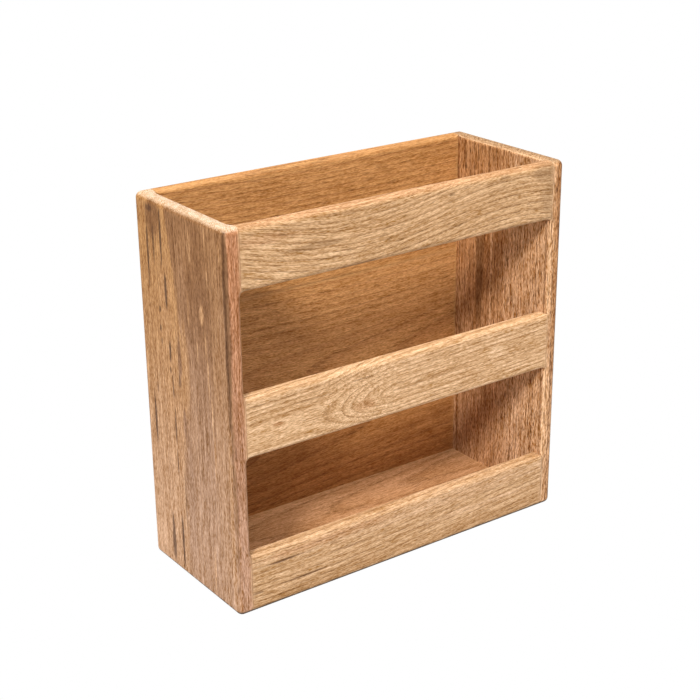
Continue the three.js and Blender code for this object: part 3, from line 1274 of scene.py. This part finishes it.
@dataclass
class CarcassSides(SubAssembly):
    """The two full-height sides, with upright grain."""

    left_cut: LogCut = LogCut(
        pith_across=-70.0, pith_through=46.0, ring_spacing=2.3, sway_depth=1.2, sway_length=420.0,
        sway_low_point=-40.0, lean=-0.012, wander=1.1, unevenness=1.6, pore_width=0.3, pore_length=7.0,
        pore_crowding=0.8, seed=3.0,
    )
    right_cut: LogCut = LogCut(
        pith_across=60.0, pith_through=-52.0, ring_spacing=2.6, sway_depth=1.0, sway_length=380.0,
        lean=0.008, wander=1.0, unevenness=1.5, pore_width=0.5, pore_length=6.0, pore_crowding=1.3, seed=8.0,
    )

    def left_wood(self) -> OiledTeak:
        """The left side's wood: brown heartwood in front, golden sapwood with dark streaks behind."""
        heart, sap, pale, red = StreakKind.HEART, StreakKind.SAP, StreakKind.PALE, StreakKind.RED
        return OiledTeak(
            title="Left side, oiled teak",
            lie=Lie.UPRIGHT_GRAIN,
            cut=self.left_cut,
            colours=TeakColours(
                early="93673f", late="774c27", year_line="62401f", pore="482b12", sap="ad7c49",
                # red is the tint of the painted light on the front face
                mineral="41220c", pale="bd8d5f", red="b27953", worn="bb9064", end="d0b294",
            ),
            sap=SapBorder(border=0.0, lean=0.03, bow=0.0009, flames=1.8),
            # painted light: lighter and paler towards the floor
            fade=Fade(start=110.0, finish=-110.0, strength=0.5, tint="caa488"),
            line_strength=0.45,
            contrast=1.4,
            streaks=(
                WoodStreak(37.0, 87, 26, 1.3),
                WoodStreak(29.8, 92, 15, 1.5, strength=0.55),
                WoodStreak(20.9, 98, 19, 1.5),
                WoodStreak(17.9, 66, 13, 1.7),
                WoodStreak(33.5, 113, 2.5, 4.0, strength=0.5),
                WoodStreak(26.0, 53, 2.8, 1.1),
                WoodStreak(26.6, 41, 3.4, 1.1),
                WoodStreak(26.0, 33, 2.2, 0.9, strength=0.6),
                WoodStreak(16.4, 29, 9, 1.4),
                WoodStreak(17.2, 17, 3, 1.0, strength=0.6),
                WoodStreak(15.4, 7, 9, 1.0, strength=0.7),
                WoodStreak(14.7, -20, 14, 1.0, strength=0.7),
                WoodStreak(14.7, -43, 10, 0.9, strength=0.6),
                WoodStreak(39.2, -22, 20, 1.4),
                WoodStreak(34.7, 0, 4, 0.9, strength=0.5),
                WoodStreak(7.0, 13, 5, 1.3, strength=0.5),
                WoodStreak(24.9, -99, 20, 2.5, strength=0.75),
                WoodStreak(13.4, -96, 22, 1.5),
                WoodStreak(7.2, -65, 26, 1.0, strength=0.4),
                WoodStreak(-49.4, 70, 92, 2.7, through=-4.75, half_depth=2.8, strength=0.75),
                WoodStreak(-50.6, -40, 130, 2.0, through=-4.75, half_depth=2.8, strength=0.65),
                WoodStreak(-51.0, -60, 130, 2.2, through=-1.5, half_depth=1.2, strength=0.25),
                WoodStreak(-51.2, -70, 90, 2.6, strength=0.12),
                WoodStreak(-51.0, 20, 90, 2.2, through=-2.8, half_depth=1.4, strength=0.3),
                WoodStreak(-1.0, 22, 38, 4.5, sap),
                WoodStreak(-7.5, 62, 13, 1.5, sap, strength=0.75),
                WoodStreak(29.5, 109, 15, 10.0, heart, strength=0.8),
                WoodStreak(-18.0, 62, 62, 18.0, heart, strength=0.45),
                WoodStreak(5.8, 28, 19, 2.7, heart, strength=0.9),
                WoodStreak(3.0, -14, 12, 2.8, heart, strength=0.9),
                WoodStreak(0.5, -62, 58, 7.0, heart, strength=0.8),
                # painted light: the front face is tinted lighter than the outer face, for the stronger light that falls
                # on it from the front
                WoodStreak(-51.2, 0, 400, 2.2, red, half_depth=20.0, strength=0.95),
                WoodStreak(-22.8, 63, 8, 2.7, pale),
                WoodStreak(-11.5, 101, 12, 2.0, pale, strength=0.6),
                WoodStreak(-29.0, 109, 10, 0.8, pale, strength=0.7),
                WoodStreak(-30.3, 88, 9, 0.8, pale, strength=0.6),
                WoodStreak(-44.0, 106, 9, 0.9, pale, strength=0.7),
                WoodStreak(-25.5, 47, 11, 0.9, pale),
                WoodStreak(-15.9, 39, 10, 0.8, pale, strength=0.7),
                WoodStreak(-27.2, 26, 16, 0.9, pale),
                WoodStreak(-29.6, 3, 16, 1.0, pale),
                WoodStreak(-31.3, -24, 18, 1.4, pale),
                WoodStreak(-24.5, -98, 20, 1.5, pale),
                WoodStreak(-46.4, -60, 75, 2.0, pale, strength=0.7),
                WoodStreak(-40.0, 0, 130, 9.0, pale, half_depth=60.0, strength=0.3),
                WoodStreak(19.0, 15, 95, 9.0, pale, strength=0.35),
                WoodStreak(-21.0, 0, 120, 10.0, heart, strength=0.3),
            ),
        )

    def right_wood(self) -> OiledTeak:
        """The right side's wood: reddish brown with long pores and one pale streak."""
        return OiledTeak(
            title="Right side, oiled teak",
            lie=Lie.UPRIGHT_GRAIN,
            cut=self.right_cut,
            colours=TeakColours(
                early="b78253", late="a06c41", year_line="7c4f2b", pore="5c3719", sap="c7945f",
                # pale is the tint of a real pale streak and of the painted light on the inner face
                mineral="4a2d15", pale="d3a377", red="c08a5a", worn="a88360", end="a3815d",
            ),
            # painted light: lighter and paler towards the floor
            fade=Fade(start=110.0, finish=-110.0, strength=0.3, tint="c8a07c"),
            line_strength=0.6,
            pore_strength=0.9,
            contrast=1.75,
            streaks=(
                # painted light: the front half of the inner face is tinted paler, for the light that falls on it
                WoodStreak(-34.0, 0, 300, 34.0, StreakKind.PALE, through=-4.75, half_depth=5.0),
                WoodStreak(5.2, 34, 60, 1.3, StreakKind.PALE, strength=0.9),
                # painted shadow: a darker patch on the inner face, in the mineral colour, for the shadow that falls
                # there inside the pocket
                WoodStreak(17.0, 40, 60, 5.0, strength=0.5),
                WoodStreak(-47.0, 20, 150, 0.8, strength=0.4),
            ),
        )

    def boards(self) -> list[Board]:
        """The left and the right side."""
        return [
            Board("left_side", "side_teak", self.left_wood()),
            Board("right_side", "side_teak", self.right_wood()),
        ]


@dataclass
class SlattedFront(SubAssembly):
    """The three front slats, with grain across, from the floor up."""

    bottom_cut: LogCut = LogCut(
        pith_across=92.0, pith_through=60.0, ring_spacing=3.0, sway_depth=7.0, sway_length=500.0,
        sway_low_point=-80.0, wander=1.2, unevenness=1.6, pore_width=0.3, pore_length=7.0, seed=12.0,
    )
    middle_cut: LogCut = LogCut(
        pith_across=-2.0, pith_through=-20.0, ring_spacing=2.7, lean=0.04, dive=0.01, wander=1.7,
        unevenness=1.8, pore_width=0.3, pore_length=5.0, plunge=Plunge(-68.0, -5.0, 13.0), seed=21.0,
    )
    top_cut: LogCut = LogCut(
        pith_across=90.0, pith_through=62.0, ring_spacing=2.8, sway_depth=9.0, sway_length=270.0,
        sway_low_point=-44.5, lean=-0.03, wander=1.2, unevenness=1.6, pore_width=0.3, pore_length=7.0,
        seed=30.0,
    )

    def top_wood(self) -> OiledTeak:
        """The top slat's wood: golden, with one darker band along its top face that is painted shade."""
        return OiledTeak(
            title="Top slat, oiled teak",
            lie=Lie.LEVEL_GRAIN_ON_EDGE,
            cut=self.top_cut,
            colours=TeakColours(
                early="c99f73", late="ac8156", year_line="6f4923", pore="63401c", sap="c49a6e",
                # red is the tint of a reddish streak and of the painted shade along the top face
                mineral="6b4724", pale="d6ac80", red="a86f46", worn="c49c74",
            ),
            streaks=(
                WoodStreak(-1.0, -66, 24, 2.2, strength=0.35),
                WoodStreak(11.8, 33.5, 2.8, 1.3, strength=0.5),
                WoodStreak(15.4, 75.5, 4.5, 1.3, strength=0.45),
                WoodStreak(13.0, 109, 13, 7.0, strength=0.4),
                WoodStreak(-4.0, 115, 12, 14.0, strength=0.3),
                WoodStreak(9.0, -100, 26, 4.0, StreakKind.RED, strength=0.25),
                # painted shade: a reddish band along the whole top face, taking off some of the light from above
                WoodStreak(18.6, 0, 300, 2.6, StreakKind.RED, strength=0.4),
                WoodStreak(2.0, -91, 14, 7.0, StreakKind.PALE, strength=0.4),
                WoodStreak(-12.0, -98, 22, 6.0, StreakKind.PALE, strength=0.4),
            ),
            late_strength=0.65,
            line_strength=0.75,
            pore_strength=0.55,
            contrast=1.12,
        )

    def middle_wood(self) -> OiledTeak:
        """The middle slat's wood: the palest, sawn so that its rings make nested flames."""
        return OiledTeak(
            title="Middle slat, oiled teak",
            lie=Lie.LEVEL_GRAIN_ON_EDGE,
            cut=self.middle_cut,
            colours=TeakColours(
                early="d3aa80", late="b78b5e", year_line="815830", pore="774f25", sap="cda47d",
                mineral="74502c", pale="dfb890", red="aa7446", worn="d0a881",
            ),
            streaks=(
                WoodStreak(13.1, -107, 6.5, 0.7, strength=0.5),
                WoodStreak(11.3, -32.5, 10, 0.7, strength=0.5),
                WoodStreak(7.6, -68, 17, 0.7, strength=0.35),
                WoodStreak(-1.8, -93, 4.5, 1.6, StreakKind.RED, strength=0.7),
                WoodStreak(-6.2, -31, 9, 4.5, StreakKind.RED, strength=0.4),
                WoodStreak(3.0, 72, 9, 5.0, StreakKind.PALE, strength=0.5),
            ),
            late_strength=0.85,
            line_strength=0.6,
            pore_strength=0.5,
            contrast=1.1,
        )

    def bottom_wood(self) -> OiledTeak:
        """The bottom slat's wood: a cooler brown, with two dark broken lines."""
        return OiledTeak(
            title="Bottom slat, oiled teak",
            lie=Lie.LEVEL_GRAIN_ON_EDGE,
            cut=self.bottom_cut,
            colours=TeakColours(
                early="c89f75", late="ad8256", year_line="744e2b", pore="66431f", sap="c39a76",
                mineral="5e3b20", pale="d6ad88", red="b47848", worn="c69e79",
            ),
            streaks=(
                WoodStreak(9.8, -92.5, 15, 0.9, strength=0.8),
                WoodStreak(-5.5, -76.5, 18, 0.9, strength=0.65),
                WoodStreak(-6.3, -112, 6, 1.0, strength=0.55),
                WoodStreak(3.5, -45, 22, 0.8, strength=0.35),
                WoodStreak(14.0, -60, 60, 3.0, StreakKind.RED, strength=0.3),
                WoodStreak(10.5, 10, 50, 2.4, StreakKind.PALE, strength=0.4),
                WoodStreak(-1.0, 60, 60, 2.0, StreakKind.PALE, strength=0.35),
                # painted light and shade: a pale band along the upper part and a darker band along the lower part,
                # lighter on top where more light falls from above
                WoodStreak(12.5, 25, 150, 6.5, StreakKind.PALE, strength=0.35),
                WoodStreak(-13.5, 20, 190, 7.5, StreakKind.HEART, strength=0.3),
            ),
            late_strength=0.65,
            line_strength=0.75,
            pore_strength=0.55,
            contrast=1.12,
        )

    def boards(self) -> list[Board]:
        """The three slats, glued at their ends."""
        woods = {"bottom_slat": self.bottom_wood(), "middle_slat": self.middle_wood(), "top_slat": self.top_wood()}
        return [Board(node, "slat_teak", wood, glued_axes=(0,), is_slat=True) for node, wood in woods.items()]


@dataclass
class GluedUpBack(SubAssembly):
    """The three boards of the back, edge to edge, with grain across."""

    bottom_cut: LogCut = LogCut(
        pith_across=12.0, pith_through=44.0, ring_spacing=3.4, sway_depth=2.0, sway_length=320.0,
        sway_low_point=-60.0, lean=0.01, dive=0.03, wander=1.4, unevenness=1.5, pore_width=0.32,
        pore_length=9.0, seed=41.0,
    )
    middle_cut: LogCut = LogCut(
        pith_across=-20.0, pith_through=38.0, ring_spacing=3.6, sway_depth=2.5, sway_length=300.0,
        sway_low_point=30.0, lean=-0.02, dive=-0.05, wander=1.5, unevenness=1.6, pore_width=0.32,
        pore_length=9.0, seed=47.0,
    )
    top_cut: LogCut = LogCut(
        pith_across=-66.0, pith_through=58.0, ring_spacing=3.0, sway_depth=1.5, sway_length=340.0,
        sway_low_point=0.0, lean=0.006, dive=0.02, wander=1.2, unevenness=1.4, pore_width=0.32,
        pore_length=9.0, seed=53.0,
    )

    def board(self, node: str, cut: LogCut, early: str, late: str) -> Board:
        """One board of the back.

        Args:
            node: The board's name.
            cut: The part of the log that it comes from.
            early: The colour of its early wood.
            late: The colour of its late wood.

        Returns:
            The board, glued at its ends and its edges.
        """
        colours = TeakColours(
            early=early, late=late, year_line="7c4f28", pore="5e3a1a", sap="cf9c60",
            mineral="5a3a1c", pale="d6a468", red="a8683a", worn="c0935f",
        )
        title = f"{node.replace('_', ' ').capitalize()}, oiled teak"
        wood = OiledTeak(title, Lie.LEVEL_GRAIN_ON_EDGE, cut, colours, line_strength=0.45)
        return Board(node, "back_teak", wood, glued_axes=(0, 2))

    def boards(self) -> list[Board]:
        """The three boards, each from another part of the log and a little different in tone."""
        return [
            self.board("back_board_bottom", self.bottom_cut, early="b07a46", late="9e683a"),
            self.board("back_board_middle", self.middle_cut, early="bd8852", late="ac7545"),
            self.board("back_board_top", self.top_cut, early="b9834c", late="a87040"),
        ]


@dataclass
class PocketFloor(SubAssembly):
    """The bottom board that closes the pocket below."""

    cut: LogCut = LogCut(20.0, -40.0, 3.2, 2.0, 300.0, 20.0, 0.01, 0.04, 1.4, 1.5, 0.32, 9.0, seed=61.0)

    def boards(self) -> list[Board]:
        """The bottom board."""
        colours = TeakColours(
            early="b4845a", late="a47448", year_line="80542c", pore="5e3a1a", sap="cf9c60",
            mineral="5a3a1c", pale="d6a468", red="a8683a", worn="bc9060",
        )
        wood = OiledTeak("Bottom board, oiled teak", Lie.LEVEL_GRAIN_FLAT, self.cut, colours, line_strength=0.45)
        return [Board("bottom_board", "bottom_teak", wood, glued_axes=(0, 1))]


@dataclass
class DowelSet:
    """The blind dowels: fluted so that the glue can escape, with chamfered ends."""

    nodes: list[str]
    flutes: int = 12
    points_per_flute: int = 4
    flute_depth: float = 0.16 * MM
    chamfer: float = 0.6 * MM
    fit: float = 0.03 * MM

    def ring(self, centre: Vector, radius: float, flute_depth: float) -> list[Vector]:
        """One section through a dowel.

        Args:
            centre: The middle of the section.
            radius: The outside radius.
            flute_depth: How deep the flutes are cut.

        Returns:
            The points of the outline.
        """
        count = self.flutes * self.points_per_flute
        points = []
        for index in range(count):
            angle = math.tau * index / count
            hollow = (1 - math.cos(self.flutes * angle)) / 2
            reach = radius - flute_depth * hollow
            points.append(centre + Vector((0.0, reach * math.cos(angle), reach * math.sin(angle))))
        return points

    def dowel(self, node: str) -> bmesh.types.BMesh:
        """The shape of one dowel, where its CAD node lies."""
        low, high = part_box(node)
        middle = (low + high) / 2
        radius = (high.z - low.z) / 2 - self.fit
        half_length = (high.x - low.x) / 2 - self.fit
        sections = []
        for end in (-1, 1):
            tip = (half_length, radius - self.chamfer, 0.0)
            shoulder = (half_length - self.chamfer, radius, 0.0)
            fluted = (half_length - 2 * self.chamfer, radius, self.flute_depth)
            rings = [tip, shoulder, fluted] if end < 0 else [fluted, shoulder, tip]
            for reach, ring_radius, depth in rings:
                sections.append(self.ring(middle + Vector((end * reach, 0.0, 0.0)), ring_radius, depth))
        return loft_shape(sections)

    def build(self) -> list[bpy.types.Object]:
        """Builds and dresses all dowels."""
        finish = DryHardwood().material()
        pieces = []
        for node in self.nodes:
            piece = link_object(f"{node}_fluted", self.dowel(node))
            piece.data.shade_smooth()
            piece.data.set_sharp_from_angle(angle=math.radians(40))
            piece.data.materials.append(finish)
            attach(piece, BODY)
            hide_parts(node)
            pieces.append(piece)
        return pieces


# ---- Studio ----


@dataclass
class Studio:
    """A plain white floor under soft light: a high key light from the front left, and a wide light above."""

    white: ClassVar[tuple[float, float, float, float]] = (1.0, 1.0, 1.0, 1.0)
    floor_reach: float = 30.0
    floor_glow: float = 0.2
    floor_grey: float = 0.42
    sky_strength: float = 0.38
    key_direction: Triple = (1.3, 1.0, -1.24)
    key_strength: float = 3.2
    key_spread: float = math.radians(11)
    overhead_height: float = 1.1
    overhead_size: float = 1.0
    overhead_power: float = 10.0

    def build(self) -> None:
        """Builds the floor, the sky and the lights."""
        self.build_floor()
        self.build_sky()
        self.build_lights()
        bpy.context.scene.view_settings.view_transform = "Standard"

    def build_floor(self) -> None:
        """The floor, a touch below the rack so that the two don't share a plane.

        It is shown pure white, but sends less light back than white paper does, so that the foot stays dark.
        """
        shape = bmesh.new()
        bmesh.ops.create_circle(shape, cap_ends=True, segments=64, radius=self.floor_reach)
        bmesh.ops.translate(shape, verts=shape.verts, vec=(0.0, 0.0, -0.05 * MM))
        floor = link_object("studio_floor", shape)
        material = bpy.data.materials.new("Studio floor, white")
        material.use_nodes = True
        material.node_tree.nodes.clear()
        sheet = Sheet(material.node_tree)
        paper = sheet.node("ShaderNodeBsdfPrincipled", {
            "Base Color": (self.floor_grey, self.floor_grey, self.floor_grey, 1.0),
            "Roughness": 0.9,
            "Specular IOR Level": 0.0,
            "Emission Color": self.white,
            "Emission Strength": self.floor_glow,
        })
        shown = sheet.node("ShaderNodeEmission", {"Color": self.white, "Strength": 1.0})
        surface = self.shown_or_lighting(sheet, shown, paper)
        sheet.node("ShaderNodeOutputMaterial", {"Surface": surface})
        floor.data.materials.append(material)

    def build_sky(self) -> None:
        """An even sky, shown white where the floor ends."""
        world = bpy.data.worlds.new("Studio sky")
        bpy.context.scene.world = world
        world.use_nodes = True
        world.node_tree.nodes.clear()
        sheet = Sheet(world.node_tree)
        lighting = sheet.node("ShaderNodeBackground", {"Color": self.white, "Strength": self.sky_strength})
        shown = sheet.node("ShaderNodeBackground", {"Color": self.white, "Strength": 1.0})
        sheet.node("ShaderNodeOutputWorld", {"Surface": self.shown_or_lighting(sheet, shown, lighting)})

    def shown_or_lighting(self, sheet: Sheet, shown: bpy.types.Node, lighting: bpy.types.Node) -> bpy.types.NodeSocket:
        """One shader for what is seen directly, and another for the light that it sends to the rack."""
        seen = sheet.node("ShaderNodeLightPath").outputs["Is Camera Ray"]
        return sheet.node("ShaderNodeMixShader", {0: seen, 1: lighting.outputs[0], 2: shown.outputs[0]}).outputs[0]

    def build_lights(self) -> None:
        """The key light and the overhead light."""
        key = bpy.data.lights.new("key_light", "SUN")
        key.energy = self.key_strength
        key.angle = self.key_spread
        self.hang(key, Vector((0.0, 0.0, 1.0)), Vector(self.key_direction))

        overhead = bpy.data.lights.new("overhead_light", "AREA")
        overhead.shape = "DISK"
        overhead.size = self.overhead_size
        overhead.energy = self.overhead_power
        self.hang(overhead, Vector((0.0, -0.1, self.overhead_height)), Vector((0.0, 0.1, -1.0)))

    def hang(self, light: bpy.types.Light, place: Vector, direction: Vector) -> None:
        """Puts a light in its place, shining in a direction."""
        lamp = bpy.data.objects.new(light.name, light)
        lamp.location = place
        lamp.rotation_euler = direction.to_track_quat("-Z", "Y").to_euler()
        bpy.context.scene.collection.objects.link(lamp)


@dataclass
class ProductCamera:
    """The camera, in front of the rack's left corner and above it. Its place is in widths of the rack."""

    place_in_widths: Triple = (-2.0641, -2.8557, 1.9001)
    heading: float = math.radians(35.556)
    tilt: float = math.radians(-21.615)
    roll: float = math.radians(-0.599)
    lens: float = 76.518
    sensor: float = 36.0

    def build(self, bounds: Box) -> None:
        """Sets the camera up and makes it the scene's own."""
        width = bounds[1].x - bounds[0].x
        view = Vector((
            math.sin(self.heading) * math.cos(self.tilt),
            math.cos(self.heading) * math.cos(self.tilt),
            math.sin(self.tilt),
        ))
        level_right = view.cross(Vector((0.0, 0.0, 1.0))).normalized()
        level_up = level_right.cross(view)
        right = math.cos(self.roll) * level_right + math.sin(self.roll) * level_up
        up = math.cos(self.roll) * level_up - math.sin(self.roll) * level_right
        turn = Matrix((right, up, -view)).transposed().to_4x4()
        lens = bpy.data.cameras.new("product_camera")
        lens.lens = self.lens
        lens.sensor_width = self.sensor
        camera = bpy.data.objects.new("product_camera", lens)
        camera.matrix_world = Matrix.Translation(Vector(self.place_in_widths) * width) @ turn
        bpy.context.scene.collection.objects.link(camera)
        bpy.context.scene.camera = camera


# ---- The rack ----


@dataclass
class MagazineRack:
    """The whole rack."""

    bounds: Box

    def workshop(self) -> Workshop:
        """Sets up the tools, with the pocket and the windows read from the CAD nodes."""
        left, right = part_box("left_side"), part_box("right_side")
        slats = [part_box(name) for name in ("bottom_slat", "middle_slat", "top_slat")]
        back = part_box("back_board_top")
        pocket = (
            Vector((left[1].x, slats[0][1].y, self.bounds[0].z)),
            Vector((right[0].x, back[0].y, self.bounds[1].z)),
        )
        windows = [(below[1].z, above[0].z) for below, above in zip(slats, slats[1:])]
        shop = Workshop(self.bounds, pocket, windows, [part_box(node) for node in self.dowel_nodes()])
        shop.set_up()
        return shop

    def dowel_nodes(self) -> list[str]:
        """The names of all dowels."""
        return sorted(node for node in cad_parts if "_dowel_" in node)

    def build(self) -> None:
        """Builds the boards and the dowels, and reports each piece."""
        shop = self.workshop()
        for assembly in (CarcassSides(), SlattedFront(), GluedUpBack(), PocketFloor()):
            for piece in assembly.build(shop):
                LOG.info("%s: %s, %d faces", type(assembly).__name__, piece.name, len(piece.data.polygons))
        shop.clear_away()
        for piece in DowelSet(self.dowel_nodes()).build():
            LOG.info("DowelSet: %s, %d faces", piece.name, len(piece.data.polygons))


def main() -> None:
    """Builds the camera, the studio and the rack."""
    logging.basicConfig(level=logging.INFO, format="%(name)s: %(message)s")
    ProductCamera().build(cad_bounds)
    Studio().build()
    MagazineRack(cad_bounds).build()


if __name__ == "__main__":
    main()
